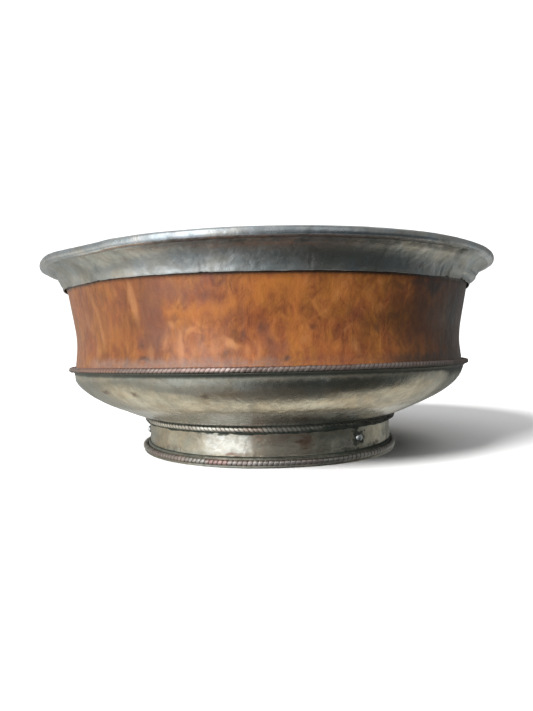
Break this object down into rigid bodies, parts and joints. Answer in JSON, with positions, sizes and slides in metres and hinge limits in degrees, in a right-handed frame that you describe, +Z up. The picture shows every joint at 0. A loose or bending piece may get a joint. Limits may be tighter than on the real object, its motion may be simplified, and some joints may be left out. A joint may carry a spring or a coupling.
{
  "type": "silver-mounted wooden bowl",
  "caption": "Turned burl bowl with a silver lining, flared rim collar, clad underside with twisted-wire ledge, and a riveted silver foot ring.",
  "frame": {"origin": "centre of the circle that the foot stands on, on the standing surface", "axes": "+Z up along the bowl's axis; -Y faces the viewer of the picture, +X is to the viewer's right"},
  "size_m": [0.1404, 0.1404, 0.0564],
  "materials": {
    "burl_wood": "worn polish, mottled red-brown burl",
    "lining_silver": "satin silver sheet, lightly tarnished",
    "rim_silver": "worn grey silver, rubbed along the lip",
    "cup_silver": "burnished silver with a warm tarnish",
    "foot_silver": "burnished silver, dark green patina in the corners",
    "wire_silver": "twisted wire, rubbed through to a coppery tone"
  },
  "bodies": {
    "root": {"wood_bowl": "burl_wood", "silver_liner": "lining_silver", "rim_collar": "rim_silver", "rim_lip": "rim_silver", "lower_cup": "cup_silver", "seam_wire": "wire_silver", "foot_flange": "foot_silver", "foot_top_wire": "wire_silver", "foot_sleeve": "foot_silver", "foot_base_ring": "foot_silver", "foot_base_wire": "wire_silver", "base_plate": "foot_silver", "foot_rivet_1": "foot_silver", "foot_rivet_2": "foot_silver", "foot_rivet_3": "foot_silver"}
  },
  "joints": []
}
